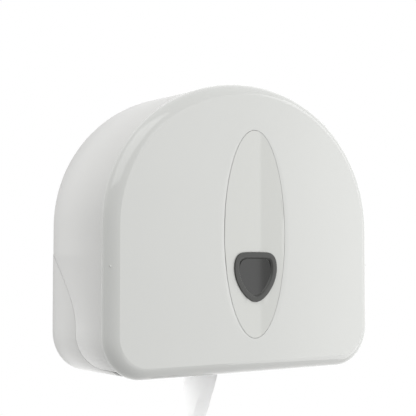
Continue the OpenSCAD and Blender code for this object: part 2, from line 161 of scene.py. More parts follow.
def pointOutwards():
    selectAll()
    bpy.ops.mesh.normals_make_consistent(inside=False)


# Colours and materials
def hexToLinear(code, share=1):  # a share below or above 1 gives a darker or lighter colour
    channels = [int(code[i:i + 2], 16) / 255 for i in (1, 3, 5)]
    linear = [c / 12.92 if c <= 0.04045 else ((c + 0.055) / 1.055) ** 2.4 for c in channels]
    return (*[min(c * share, 1) for c in linear], 1)


def addNode(tree, kind, inputs=None, links=None, into=None, **settings):
    node = tree.nodes.new(kind)
    for name, value in settings.items():
        setattr(node, name, value)
    for name, value in (inputs or {}).items():
        node.inputs[name].default_value = value
    for name, source in (links or {}).items():
        tree.links.new(source, node.inputs[name])
    for name, target in (into or {}).items():
        tree.links.new(node.outputs[name], target)
    return node


def startMaterial(name, colour, roughness, metallic=0.0, ior=1.5):
    material = bpy.data.materials.new(name)
    material.use_nodes = True
    tree = material.node_tree
    shader = tree.nodes["Principled BSDF"]
    shader.inputs["Base Color"].default_value = hexToLinear(colour)
    shader.inputs["Roughness"].default_value = roughness
    shader.inputs["Metallic"].default_value = metallic
    if not metallic:
        shader.inputs["IOR"].default_value = ior
    return material, tree, shader


# Moulded plastic and rubber: one colour right through, slightly uneven from the cooling
moulding = {
    "cloudSize": 90 * mm,  # slow unevenness of the colour and the gloss
    "cloudDetail": 2.0,
    "colourSpread": 0.012,
    "roughnessSpread": 0.05,
    "grainDetail": 3.0,
}
# name, colour, roughness, size and depth of the grain, and the IOR where it isn't 1.5
mouldedLooks = {
    # ABS from a polished mould: the bead mirrors the lamps, the face has a faint grain that blurs them
    "glossWhite": ("GlossABS", "#D2D3D0", 0.26, 0.9 * mm, 0.002 * mm),
    "beadWhite": ("PolishedABS", "#D2D3D0", 0.08, 0.9 * mm, 0.0005 * mm),
    # ABS from a spark eroded mould: fine grain, so that the light spreads
    "satinWhite": ("SatinABS", "#D5D5D3", 0.42, 0.7 * mm, 0.012 * mm),
    # acrylic from a mirror polished mould: clear reflections with sharp edges
    "inlayWhite": ("PolishedAcrylic", "#D0D1CD", 0.035, 2 * mm, 0.0002 * mm),
    # smoked polycarbonate: dark, with a soft shine on the rim and a hard one on the field
    "smokeGrey": ("SmokedPolycarbonate", "#282926", 0.3, 0.6 * mm, 0.003 * mm, 1.45),
    "smokeField": ("SmokedPolycarbonateField", "#181917", 0.07, 0.6 * mm, 0.001 * mm, 1.45),
    # moulded polypropylene in two greys: matt, slightly waxy
    "innerGrey": ("GreyPolypropylene", "#8F908E", 0.5, 0.8 * mm, 0.015 * mm),
    "adapterGrey": ("DarkPolypropylene", "#5A5C5F", 0.48, 0.8 * mm, 0.015 * mm),
    # moulded nitrile rubber: nearly black and dull
    "rubber": ("NitrileRubber", "#1E1E1F", 0.7, 0.5 * mm, 0.02 * mm),
}


def makeMoulded(name, colour, roughness, grainSize, grainDepth, ior=1.5):
    material, tree, shader = startMaterial(name, colour, roughness, ior=ior)
    place = addNode(tree, "ShaderNodeTexCoord").outputs["Object"]
    clouds = addNode(
        tree, "ShaderNodeTexNoise", links={"Vector": place},
        inputs={"Scale": 1 / moulding["cloudSize"], "Detail": moulding["cloudDetail"]}).outputs["Fac"]
    spread = moulding["colourSpread"]
    addNode(
        tree, "ShaderNodeMix", data_type="RGBA", links={"Factor": clouds},
        inputs={"A": hexToLinear(colour, 1 - spread), "B": hexToLinear(colour, 1 + spread)},
        into={"Result": shader.inputs["Base Color"]})
    spread = moulding["roughnessSpread"]
    addNode(
        tree, "ShaderNodeMapRange", links={"Value": clouds},
        inputs={"To Min": roughness * (1 - spread), "To Max": roughness * (1 + spread)},
        into={"Result": shader.inputs["Roughness"]})
    grain = addNode(
        tree, "ShaderNodeTexNoise", links={"Vector": place},
        inputs={"Scale": 1 / grainSize, "Detail": moulding["grainDetail"]}).outputs["Fac"]
    height = addNode(tree, "ShaderNodeMath", operation="MULTIPLY", inputs={1: grainDepth}, links={0: grain})
    addNode(
        tree, "ShaderNodeBump", inputs={"Strength": 1.0, "Distance": 1.0},
        links={"Height": height.outputs["Value"]}, into={"Normal": shader.inputs["Normal"]})
    return material


metal = {
    "roughnessShares": (0.8, 1.25),  # the grain moves the roughness between these
    "grainDetail": 4.0,
    "bump": 0.4,
}
# name, colour, roughness, size and depth of the grain, and how far it is drawn out
metalLooks = {
    # zinc plated steel: bright grey, finely mottled
    "steel": ("ZincPlatedSteel", "#C2C5C9", 0.3, 1.5 * mm, 0.004 * mm),
    # brushed stainless steel: level strokes that draw out the reflections
    "stainless": ("BrushedStainless", "#CBCCCE", 0.26, 0.5 * mm, 0.004 * mm, (0.03, 0.03, 1)),
}


def makeMetal(name, colour, roughness, grainSize, grainDepth, drawnOut=(1, 1, 1)):
    material, tree, shader = startMaterial(name, colour, roughness, metallic=1.0)
    place = addNode(tree, "ShaderNodeTexCoord").outputs["Object"]
    strokes = addNode(tree, "ShaderNodeMapping", inputs={"Scale": drawnOut}, links={"Vector": place})
    grain = addNode(
        tree, "ShaderNodeTexNoise", links={"Vector": strokes.outputs["Vector"]},
        inputs={"Scale": 1 / grainSize, "Detail": metal["grainDetail"]}).outputs["Fac"]
    low, high = metal["roughnessShares"]
    addNode(
        tree, "ShaderNodeMapRange", inputs={"To Min": roughness * low, "To Max": roughness * high},
        links={"Value": grain}, into={"Result": shader.inputs["Roughness"]})
    addNode(
        tree, "ShaderNodeBump", inputs={"Strength": metal["bump"], "Distance": grainDepth},
        links={"Height": grain}, into={"Normal": shader.inputs["Normal"]})
    return material


# Two plies of creped tissue: matt and fibrous, and a little light comes through
tissueLook = {
    "colour": "#F9F9F9",
    "shares": (0.96, 1.02),  # of the colour, between the fibres and on them
    "roughness": 0.9,
    "sheen": 0.2,
    "through": 0.45,  # share of the light that comes through
    "fibreSize": 0.7 * mm,
    "fibreDepth": 0.05 * mm,
    "fibreDetail": 5.0,
    "bump": 0.6,
}
# Board wound into a core: grey-brown and dull, with short fibres
boardLook = {
    "colour": "#A98F6C",
    "shares": (0.75, 1.2),
    "roughness": 0.85,
    "fibreSize": mm / 0.9,
    "fibreDepth": 0.05 * mm,
    "fibreDetail": 6.0,
    "bump": 0.5,
}


def makeFibrous(name, look):
    material, tree, shader = startMaterial(name, look["colour"], look["roughness"])
    place = addNode(tree, "ShaderNodeTexCoord").outputs["Object"]
    fibres = addNode(
        tree, "ShaderNodeTexNoise", links={"Vector": place},
        inputs={"Scale": 1 / look["fibreSize"], "Detail": look["fibreDetail"]}).outputs["Fac"]
    dark, light = [hexToLinear(look["colour"], share) for share in look["shares"]]
    addNode(
        tree, "ShaderNodeMix", data_type="RGBA", inputs={"A": dark, "B": light}, links={"Factor": fibres},
        into={"Result": shader.inputs["Base Color"]})
    addNode(
        tree, "ShaderNodeBump", inputs={"Strength": look["bump"], "Distance": look["fibreDepth"]},
        links={"Height": fibres}, into={"Normal": shader.inputs["Normal"]})
    return material, tree, shader


def makeTissue(name):
    material, tree, shader = makeFibrous(name, tissueLook)
    shader.inputs["Sheen Weight"].default_value = tissueLook["sheen"]
    through = addNode(tree, "ShaderNodeBsdfTranslucent", inputs={"Color": hexToLinear(tissueLook["colour"])})
    addNode(
        tree, "ShaderNodeMixShader", inputs={"Fac": tissueLook["through"]},
        links={1: shader.outputs["BSDF"], 2: through.outputs["BSDF"]},
        into={"Shader": tree.nodes["Material Output"].inputs["Surface"]})
    return material


# Wound tissue: the sides of the roll show its layers as fine rings, bumped and with painted shade between
# the layers
rollLook = {
    "colour": "#F1F1ED",
    "gapShadeShare": 0.93,  # of the colour: painted shade between two layers
    "roughness": 0.92,
    "layerPitch": 1.1 * mm,  # real layers are 0.2 mm; drawn coarser so that they show
    "layerDepth": 0.12 * mm,
    "wobble": 3 * mm,  # how far the rings stray
    "wobbleSize": mm / 0.06,
    "wobbleDetail": 2.0,
    "bump": 0.5,
}


def makeRollPaper(name):
    material, tree, shader = startMaterial(name, rollLook["colour"], rollLook["roughness"])
    coordinates = addNode(tree, "ShaderNodeTexCoord").outputs
    place = coordinates["Object"]
    flat = addNode(
        tree, "ShaderNodeVectorMath", operation="MULTIPLY", inputs={1: (1, 0, 1)}, links={0: place})
    radius = addNode(tree, "ShaderNodeVectorMath", operation="LENGTH", links={0: flat.outputs["Vector"]})
    wobble = addNode(
        tree, "ShaderNodeTexNoise", links={"Vector": place},
        inputs={"Scale": 1 / rollLook["wobbleSize"], "Detail": rollLook["wobbleDetail"]})
    turns = addNode(
        tree, "ShaderNodeMath", operation="MULTIPLY_ADD", inputs={1: rollLook["wobble"]},
        links={0: wobble.outputs["Fac"], 2: radius.outputs["Value"]})
    wave = addNode(
        tree, "ShaderNodeMath", operation="MULTIPLY", inputs={1: 2 * math.pi / rollLook["layerPitch"]},
        links={0: turns.outputs["Value"]})
    sine = addNode(tree, "ShaderNodeMath", operation="SINE", links={0: wave.outputs["Value"]})
    facing = addNode(tree, "ShaderNodeSeparateXYZ", links={"Vector": coordinates["Normal"]})
    sides = addNode(tree, "ShaderNodeMath", operation="ABSOLUTE", links={0: facing.outputs["Y"]})
    rings = addNode(
        tree, "ShaderNodeMath", operation="MULTIPLY",
        links={0: sine.outputs["Value"], 1: sides.outputs["Value"]}).outputs["Value"]
    shade = addNode(tree, "ShaderNodeMapRange", inputs={"From Min": -1.0}, links={"Value": rings})
    # painted shade: the colour turns darker between the layers of the roll
    dark = hexToLinear(rollLook["colour"], rollLook["gapShadeShare"])
    addNode(
        tree, "ShaderNodeMix", data_type="RGBA", inputs={"A": dark, "B": hexToLinear(rollLook["colour"])},
        links={"Factor": shade.outputs["Result"]}, into={"Result": shader.inputs["Base Color"]})
    addNode(
        tree, "ShaderNodeBump", inputs={"Strength": rollLook["bump"], "Distance": rollLook["layerDepth"]},
        links={"Height": rings}, into={"Normal": shader.inputs["Normal"]})
    return material


finishes = {finish: makeMoulded(*look) for finish, look in mouldedLooks.items()}
finishes |= {finish: makeMetal(*look) for finish, look in metalLooks.items()}
finishes["tissue"] = makeTissue("EmbossedTissue")
finishes["rollPaper"] = makeRollPaper("WoundTissue")
finishes["cardboard"] = makeFibrous("CoreBoard", boardLook)[0]
print("materials made:", len(finishes))


def dress(piece, finish, body, slot, *nodes):
    piece.data.materials.clear()
    piece.data.materials.append(finishes[finish])
    sendOff(piece, body, slot, *nodes)


def sendOff(piece, body, slot, *nodes):
    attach(piece, body)
    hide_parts(*nodes)


# Primitives at their place
turned = {"X": (0, math.pi / 2, 0), "Y": (math.pi / 2, 0, 0), "Z": (0, 0, 0)}


def addBlock(name, low, high):
    clearSelection()
    bpy.ops.mesh.primitive_cube_add(size=1, location=[(a + b) / 2 for a, b in zip(low, high)])
    piece = takeNew(name)
    piece.scale = [b - a for a, b in zip(low, high)]
    applyPlace(piece)
    return piece


def addRod(name, axis, middle, length, radius, steps=64):
    clearSelection()
    bpy.ops.mesh.primitive_cylinder_add(
        vertices=steps, radius=radius, depth=length, location=middle, rotation=turned[axis])
    piece = takeNew(name)
    applyPlace(piece)
    return piece


def mirrored(x):  # the same place on the right and on the left
    return (x, -x)


def joinPieces(name, pieces):
    activate(pieces[0])
    for piece in pieces[1:]:
        piece.select_set(True)
    bpy.ops.object.join()
    return takeNew(name)


# The profile gives radius and depth in front of the wall, from rear to front
def turnOnLathe(name, profile, steps=96):
    clearSelection()
    bpy.ops.mesh.primitive_plane_add(size=mm)
    piece = takeNew(name)
    startEdit(piece)
    bpy.ops.mesh.select_mode(type="VERT")
    selectAll()
    bpy.ops.mesh.merge(type="CENTER")
    bpy.ops.transform.translate(value=(profile[0][0], -profile[0][1], 0))
    for last, following in zip(profile, profile[1:]):
        step = (following[0] - last[0], last[1] - following[1], 0)
        bpy.ops.mesh.extrude_vertices_move(TRANSFORM_OT_translate={"value": step})
    selectAll()
    bpy.ops.mesh.spin(steps=steps, angle=2 * math.pi, center=(0, 0, 0), axis=(0, 1, 0))
    selectAll()
    bpy.ops.mesh.remove_doubles(threshold=0.004 * mm)  # shorter than any edge of a turned piece
    pointOutwards()
    endEdit()
    return piece


def ringProfile(inner, outer, back, front, edge):  # a ring's section with its four edges broken
    corners = [
        (inner + edge, back), (outer - edge, back), (outer, back + edge), (outer, front - edge),
        (outer - edge, front), (inner + edge, front), (inner, front - edge), (inner, back + edge)]
    return corners + corners[:1]


def keepFlat(piece):  # large faces shade flat, the rounded edges between them take up the turn
    applyModifier(piece, "WEIGHTED_NORMAL", weight=100, keep_sharp=True)


# A CAD node whose form is right: its triangles are merged and its edges softened
refining = {
    "merge": 0.005 * mm,
    "level": math.radians(0.8),  # triangles that turn less than this are one face
}


def refineNode(node, name, finish, body, slot, edge=0.3 * mm):
    piece = addObject(name, frame["nodes"][node].data.copy())
    startEdit(piece)
    selectAll()
    bpy.ops.mesh.remove_doubles(threshold=refining["merge"])
    bpy.ops.mesh.dissolve_limited(angle_limit=refining["level"])
    endEdit()
    softenEdges(piece, edge)
    smooth(piece)
    keepFlat(piece)
    dress(piece, finish, body, slot, node)


# The outline that the cover, its panel and the housing share: an upright D with a domed top
panelLow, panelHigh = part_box("front_panel")
shellLow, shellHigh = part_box("cover_shell")
outline = {
    "width": panelHigh.x - panelLow.x,
    "foot": panelLow.z,
    "top": panelHigh.z,
    "domeHeight": 159 * mm,
    "cornerRadius": 47 * mm,
    "domeSteps": 64,
    "cornerSteps": 12,
    "edgeStep": 9 * mm,
    "wall": 2.5 * mm,
    "proud": 1.5 * mm,  # the bead stands out this far from the side wall
}
outline["domeZ"] = outline["top"] - outline["domeHeight"]
outline["skin"] = outline["proud"] + outline["wall"]
foot = outline["foot"]
jointY = shellLow.y


def addOutline(name, inset, y):
    halfWidth = outline["width"] / 2 - inset
    low = foot + inset
    domeZ = outline["domeZ"]
    clearSelection()
    bpy.ops.mesh.primitive_circle_add(
        vertices=outline["domeSteps"] * 2, radius=1, fill_type="NOTHING",
        location=(0, y, domeZ), rotation=(math.pi / 2, 0, 0))
    piece = takeNew(name)
    piece.scale = (halfWidth, outline["domeHeight"] - inset, 1)
    applyPlace(piece)
    startEdit(piece)
    pick("VERT", lambda co: co.z < domeZ - tiny)
    bpy.ops.mesh.delete(type="VERT")
    pick("VERT", lambda co: co.z < domeZ + tiny)
    bpy.ops.mesh.extrude_vertices_move(TRANSFORM_OT_translate={"value": (0, 0, low - domeZ)})
    bpy.ops.mesh.edge_face_add()
    selectAll()
    bpy.ops.mesh.edge_face_add()
    pick("VERT", lambda co: co.z < low + tiny)
    bpy.ops.mesh.bevel(
        offset=outline["cornerRadius"] - inset, segments=outline["cornerSteps"], affect="VERTICES",
        clamp_overlap=False)
    splitLongEdges(low)
    faceForward()
    return piece


def splitLongEdges(low):  # the straight foot and sides get points too, so that the skins stay even
    bottom, top = low + outline["cornerRadius"] / 2, outline["domeZ"] + tiny
    longest = outline["edgeStep"] * 2
    straights = [
        lambda co: co.z < low + tiny,
        lambda co: co.x > 0 and bottom < co.z < top,
        lambda co: co.x < 0 and bottom < co.z < top,
    ]
    for straight in straights:
        pick("EDGE", straight)
        mesh = editMesh()
        edges = [edge for edge in mesh.edges if edge.select and edge.calc_length() > longest]
        if not edges:
            continue
        bpy.ops.mesh.select_all(action="DESELECT")
        for edge in edges:
            edge.select_set(True)
        bmesh.update_edit_mesh(bpy.context.object.data)
        bpy.ops.mesh.subdivide(number_cuts=round(edges[0].calc_length() / outline["edgeStep"]) - 1)


def faceForward():  # the one face of a flat outline looks to the front and is selected
    bpy.ops.mesh.select_mode(type="FACE")
    selectAll()
    mesh = editMesh()
    mesh.faces.ensure_lookup_table()
    mesh.normal_update()
    if mesh.faces[0].normal.y > 0:
        bpy.ops.mesh.flip_normals()


def pullForward(distance):
    bpy.ops.mesh.extrude_region_move(TRANSFORM_OT_translate={"value": (0, -distance, 0)})


def addSlab(name, inset, back, front):  # a solid with the shared outline
    piece = addOutline(name, inset, back)
    pullForward(back - front)
    pointOutwards()
    endEdit()
    return piece


def addWall(name, inset, back, front, wall):  # a tube with the shared outline
    piece = addOutline(name, inset, back)
    pullForward(back - front)
    pointOutwards()
    pick("FACE", lambda co: co.y > back - tiny)
    bpy.ops.mesh.delete(type="ONLY_FACE")
    pick("FACE", lambda co: co.y < front + tiny)
    bpy.ops.mesh.delete(type="ONLY_FACE")
    endEdit()
    thicken(piece, wall)
    return piece


# The face is bowed from side to side; the bead follows it
face = {
    "y": jointY - 13 * mm,
    "bow": 8 * mm,
    "wall": 2.5 * mm,
    "rings": 18,
    "edge": 0.35 * mm,
}


def bowForward(piece, whole=False):  # a weighted shift, full on the face and none at the joint
    group = piece.vertex_groups.new(name="bow")
    for vertex in piece.data.vertices:
        across = 2 * vertex.co.x / outline["width"]
        share = 1 if whole else min((jointY - vertex.co.y) / (jointY - face["y"]), 1)
        group.add([vertex.index], max(1 - across ** 2, 0) * max(share, 0), "REPLACE")
    applyModifier(piece, "DISPLACE", strength=-face["bow"], mid_level=0, direction="Y", vertex_group="bow")
    piece.vertex_groups.clear()


# The rolled bead is a quarter of an oval that stops short of the tangent, so it meets the face in a crease
bead = {
    "width": 16 * mm,
    "turn": math.radians(80),
    "steps": 12,
}
bead["depth"] = (jointY - face["y"]) / math.sin(bead["turn"])

inlay = {
    "width": 85 * mm,
    "height": 229 * mm,
    "middleZ": foot + 153 * mm,
    "gap": 0.35 * mm,
    "rings": 8,
    "points": 160,
    "merge": 0.01 * mm,
    "thickness": 4 * mm,
    "lipWidth": 5 * mm,
    "lipDepth": 2.75 * mm,
}


def buildFrontPanel():
    panel = addOutline("frontPanel", 0, jointY)
    turns = [bead["turn"] * step / bead["steps"] for step in range(bead["steps"] + 1)]
    for last, following in zip(turns, turns[1:]):
        bpy.ops.mesh.inset(
            thickness=bead["width"] * (math.cos(last) - math.cos(following)),
            depth=bead["depth"] * (math.sin(following) - math.sin(last)), use_even_offset=True)
    bpy.ops.mesh.delete(type="ONLY_FACE")
    pick("EDGE", lambda co: co.y < face["y"] + tiny)
    bpy.ops.mesh.mark_sharp()
    rimPoints = countPicked()
    bpy.ops.mesh.primitive_circle_add(
        vertices=rimPoints, radius=1, fill_type="NOTHING", location=(0, face["y"], inlay["middleZ"]),
        rotation=(math.pi / 2, 0, 0))
    bpy.ops.transform.resize(
        value=(inlay["width"] / 2, 1, inlay["height"] / 2),
        center_override=(0, face["y"], inlay["middleZ"]))
    pick("EDGE", lambda co: co.y < face["y"] + tiny)
    bpy.ops.mesh.bridge_edge_loops(number_cuts=face["rings"], interpolation="LINEAR")
    pointOutwards()
    for finish in ("glossWhite", "beadWhite"):
        panel.data.materials.append(finishes[finish])
    pick("FACE", lambda co: co.y < face["y"] + tiny)
    bpy.ops.mesh.select_all(action="INVERT")
    panel.active_material_index = 1
    bpy.ops.object.material_slot_assign()
    endEdit()
    bowForward(panel)
    thicken(panel, face["wall"])
    softenEdges(panel, face["edge"], angle=60)
    smooth(panel, angle=40)
    sendOff(panel, "cover", "gloss_white", "front_panel")


# Behind the panel: bosses for the screws from the shell and the two lugs of the hinge
boss = {
    "radius": 4.2 * mm,
    "bore": 1.6 * mm,
    "edge": 0.4 * mm,
    "steps": 40,
    "inset": 11 * mm,
    "sideZ": -40 * mm,
    "domeAngle": math.radians(50),
    "finWidth": 1.4 * mm,
    "finReach": 7.5 * mm,
    "finLength": 6 * mm,
    "wallShare": 0.8,  # how deep it reaches into the wall and the bow
    "short": 1.4 * mm,  # and how much it stops short of that
}
hinge = {
    "y": jointY + 6 * mm,
    "z": foot + 9.5 * mm,
    "earX": 126 * mm,
    "lugX": 135.3 * mm,
    "width": 9 * mm,
    "radius": 5.6 * mm,
    "edge": 0.5 * mm,
}


def bowAt(x):
    return face["bow"] * (1 - (2 * x / outline["width"]) ** 2)


def bossEnd(x):  # a boss ends inside the bead's wall
    return face["y"] + boss["wallShare"] * (face["wall"] - bowAt(x)) + boss["short"]


def bossPlaces():
    halfWidth = outline["width"] / 2 - boss["inset"]
    domeX = halfWidth * math.cos(boss["domeAngle"])
    domeRise = (outline["domeHeight"] - boss["inset"]) * math.sin(boss["domeAngle"])
    sides = [(x, boss["sideZ"]) for x in mirrored(halfWidth)]
    return sides + [(x, outline["domeZ"] + domeRise) for x in mirrored(domeX)]


def addHingeEye(name, x, *arms):  # each arm from its lowest to its highest depth and height
    left, right = x - hinge["width"] / 2, x + hinge["width"] / 2
    eye = addRod(name, "X", (x, hinge["y"], hinge["z"]), hinge["width"], hinge["radius"])
    for low, high in arms:
        cutAway(eye, addBlock("arm", (left, *low), (right, *high)), "UNION")
    softenEdges(eye, hinge["edge"], segments=3)
    return eye


def buildPanelBacks():
    for number, (x, z) in enumerate(bossPlaces(), 1):
        end = bossEnd(x)
        post = turnOnLathe(
            "post", ringProfile(boss["bore"], boss["radius"], -jointY, -end, boss["edge"]), boss["steps"])
        post.location = (x, 0, z)
        applyPlace(post)
        fins = [
            addBlock("fin", (x - boss["finReach"], end, z - boss["finWidth"] / 2),
                     (x + boss["finReach"], end + boss["finLength"], z + boss["finWidth"] / 2)),
            addBlock("fin", (x - boss["finWidth"] / 2, end, z - boss["finReach"]),
                     (x + boss["finWidth"] / 2, end + boss["finLength"], z + boss["finReach"]))]
        inside = addSlab("inside", bead["width"] / 4, jointY - overlap, end)
        fins = joinPieces("fins", fins)
        cutAway(fins, inside, "INTERSECT")
        tower = joinPieces(f"panelBoss{number}", [post, fins])
        smooth(tower)
        dress(tower, "glossWhite", "cover", "gloss_white")
    end = bossEnd(hinge["lugX"] + hinge["width"])
    for side, sign in (("Right", 1), ("Left", -1)):
        lug = addHingeEye(
            f"hingeLug{side}", sign * (hinge["lugX"] + hinge["width"] / 2),
            ((end, hinge["z"] - hinge["radius"] / 3), (hinge["y"], hinge["z"] + hinge["radius"])))
        smooth(lug)
        dress(lug, "glossWhite", "cover", "gloss_white")


def addOvalPlate(name, grow, y, thickness):  # rings of points, so that the plate can take the bow
    clearSelection()
    bpy.ops.mesh.primitive_circle_add(
        vertices=inlay["points"], radius=1, fill_type="NGON", location=(0, y, inlay["middleZ"]),
        rotation=(math.pi / 2, 0, 0))
    plate = takeNew(name)
    plate.scale = (inlay["width"] / 2 + grow, inlay["height"] / 2 + grow, 1)
    applyPlace(plate)
    startEdit(plate)
    faceForward()
    for ring in range(inlay["rings"], 0, -1):
        share = (ring - 0.5) / (ring + 0.5)
        bpy.ops.mesh.extrude_region_move(TRANSFORM_OT_translate={"value": (0, 0, 0)})
        bpy.ops.transform.resize(value=(share, 1, share), center_override=(0, y, inlay["middleZ"]))
    bpy.ops.mesh.poke()
    selectAll()
    bpy.ops.mesh.remove_doubles(threshold=inlay["merge"])
    bpy.ops.mesh.delete_loose()
    selectAll()
    flipForward()
    endEdit()
    bowForward(plate, whole=True)
    thicken(plate, thickness)
    return plate


def flipForward():
    mesh = editMesh()
    mesh.faces.ensure_lookup_table()
    mesh.normal_update()
    for part in mesh.faces:
        part.select_set(part.normal.y > 0)
    bmesh.update_edit_mesh(bpy.context.object.data)
    bpy.ops.mesh.flip_normals()


def buildInlay():
    plate = addOvalPlate("inlayPanel", -inlay["gap"], face["y"], inlay["thickness"])
    depth = inlay["lipDepth"]
    lip = addOvalPlate("lip", inlay["lipWidth"], face["y"] + depth, inlay["thickness"] - depth)
    for part in (plate, lip):
        cutAway(part, addShieldCutter(-window["seat"]))
    softenEdges(plate, face["edge"], segments=3, angle=60)
    plate = joinPieces("inlayPanel", [plate, lip])
    smooth(plate, angle=40)
    dress(plate, "inlayWhite", "cover", "inlay_white", "inlay_panel")


# The window: a shield with a flat top, round shoulders and a round point
window = {
    "width": 59 * mm,
    "height": 55 * mm,
    "top": foot + 133 * mm,
    "y": face["y"] - face["bow"],
    "rim": 5.6 * mm,
    "rimDeep": 1.2 * mm,  # from the crest of the face to the rim's rear
    "slopeWide": 1.8 * mm,  # the rim's inner side slopes down to the field
    "proud": 1.6 * mm,
    "sink": 1.9 * mm,
    "seat": 3 * mm,
    "edge": 0.6 * mm,
    "fieldRise": 0.15 * mm,
    "fieldWall": 1.6 * mm,
    "fieldStrips": 40,
    "fieldTall": 1.3,  # share of the height, before the plate is cut
    "fieldGap": 0.05 * mm,
    "collarGap": 0.2 * mm,
    "collarEdge": 0.3 * mm,
    "back": 4.3 * mm,
    "reach": 9 * mm,  # of a cutter, before and behind the face
    "curveSteps": 14,
}
# its knots with the handles before and after them, as shares of the width and the height
shieldKnots = [
    ((0.27, -0.008), (0.22, 0), (0.43, -0.02)),
    ((0.5, -0.33), (0.5, -0.13), (0.5, -0.66)),
    ((0, -1), (0.2, -1), (-0.2, -1)),
    ((-0.5, -0.33), (-0.5, -0.66), (-0.5, -0.13)),
    ((-0.27, -0.008), (-0.43, -0.02), (-0.22, 0)),
]


def addCurve(name, knots, place, steps, closed=False):  # a knot comes with the handles before and after it
    clearSelection()
    bpy.ops.curve.primitive_bezier_curve_add()
    piece = takeNew(name)
    piece.data.resolution_u = steps
    spline = piece.data.splines[0]
    spline.bezier_points.add(len(knots) - 2)
    spline.use_cyclic_u = closed
    for point, (at, before, after) in zip(spline.bezier_points, knots):
        point.handle_left_type = point.handle_right_type = "FREE"
        point.co, point.handle_left, point.handle_right = place(at), place(before), place(after)
    bpy.ops.object.convert(target="MESH")
    startEdit(piece)
    return piece


def addShield(name, grow, y):
    width, height = window["width"] + 2 * grow, window["height"] + 2 * grow

    def place(shares):
        return (shares[0] * width, y, window["top"] + grow + shares[1] * height)

    piece = addCurve(name, shieldKnots, place, window["curveSteps"], closed=True)
    selectAll()
    bpy.ops.mesh.remove_doubles(threshold=tiny)
    bpy.ops.mesh.edge_face_add()
    faceForward()
    return piece


def addShieldSolid(name, grow, back, front):
    piece = addShield(name, grow, back)
    pullForward(back - front)
    pointOutwards()
    endEdit()
    return piece


def addShieldCutter(grow):
    return addShieldSolid("cutter", grow, window["y"] + window["reach"], window["y"] - window["reach"])


def addField(floor):  # a plate with the bow of the face, cut to the rim's inner outline
    clearSelection()
    bpy.ops.mesh.primitive_grid_add(x_subdivisions=window["fieldStrips"], y_subdivisions=2, size=1)
    field = takeNew("windowField")
    field.scale = (window["width"], window["fieldTall"] * window["height"], 1)
    field.rotation_euler = (math.pi / 2, 0, 0)
    field.location = (0, floor + face["bow"], window["top"] - window["height"] / 2)
    applyPlace(field)
    bowForward(field)
    thicken(field, window["fieldWall"])
    inset = window["slopeWide"] + window["rim"] + window["fieldGap"]
    cutAway(field, addShieldCutter(-inset), "INTERSECT")
    smooth(field, angle=40)
    return field


def buildWindow():
    back = window["y"] + window["rimDeep"]
    rim = addShield("windowRim", 0, back)
    pullForward(window["proud"] + window["rimDeep"])
    bpy.ops.mesh.inset(thickness=window["rim"], depth=0, use_even_offset=True)
    bpy.ops.mesh.inset(thickness=window["slopeWide"], depth=-window["sink"], use_even_offset=True)
    floor = window["y"] - window["proud"] + window["sink"]
    pick("FACE", lambda co: abs(co.y - floor) < tiny)
    bpy.ops.mesh.delete(type="FACE")
    endEdit()
    inset = window["seat"] + window["collarGap"]
    collar = addShieldSolid("collar", -inset, window["y"] + window["back"], back - tiny)
    cutAway(collar, addShieldCutter(-window["rim"]))
    softenEdges(rim, window["edge"], segments=4, angle=25)
    softenEdges(collar, window["collarEdge"])
    rim = joinPieces("windowRim", [rim, collar])
    smooth(rim, angle=50)
    dress(rim, "smokeGrey", "cover", "smoke_grey", "window_lens")
    dress(addField(floor - window["fieldRise"]), "smokeField", "cover", "smoke_grey", "window_lens")


# The curved seam, seen from the side: knots and handles by depth and height above the foot, in millimetres
seam = {
    "knots": [
        ((1, 132), (1, 132), (-20, 107)),
        ((-51, 55), (-51, 78), (-51, 22)),
        ((-75, 9), (-57, 9), (-75, 9)),
    ],
    "reach": 250 * mm,
    "below": 24 * mm,
    "gap": 0.5 * mm,
    "steps": 24,
}


def addSeamPrism(name, shiftY, shiftZ):  # what lies behind and below the seam, right through the body
    def place(at):
        return (-outline["width"], at[0] * mm + shiftY, foot + at[1] * mm + shiftZ)

    prism = addCurve(name, seam["knots"], place, seam["steps"])
    toe = Vector(place(seam["knots"][-1][0]))
    pick("VERT", lambda co: (co - toe).length < tiny)
    drop = toe.z - foot + seam["below"]
    for step in ((0, -seam["reach"], 0), (0, 0, -drop), (0, seam["reach"] - toe.y + overlap, 0)):
        bpy.ops.mesh.extrude_vertices_move(TRANSFORM_OT_translate={"value": step})
    selectAll()
    bpy.ops.mesh.edge_face_add()
    bpy.ops.mesh.select_mode(type="FACE")
    selectAll()
    bpy.ops.mesh.extrude_region_move(TRANSFORM_OT_translate={"value": (2 * outline["width"], 0, 0)})
    pointOutwards()
    endEdit()
    return prism


shell = {
    "tabRadius": 8 * mm,
    "tabThickness": 2.5 * mm,
    "tabHole": 1.8 * mm,
    "tabSteps": 32,
    "tabEdge": 0.25 * mm,
    "lockHole": 9 * mm,
    "cutLength": 30 * mm,
    "reach": 9 * mm,  # of the slab that trims the tabs, before and behind the joint
    "jointGap": 0.1 * mm,
    "edge": 0.4 * mm,
}
lockY = (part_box("lock_barrel")[0].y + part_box("lock_barrel")[1].y) / 2


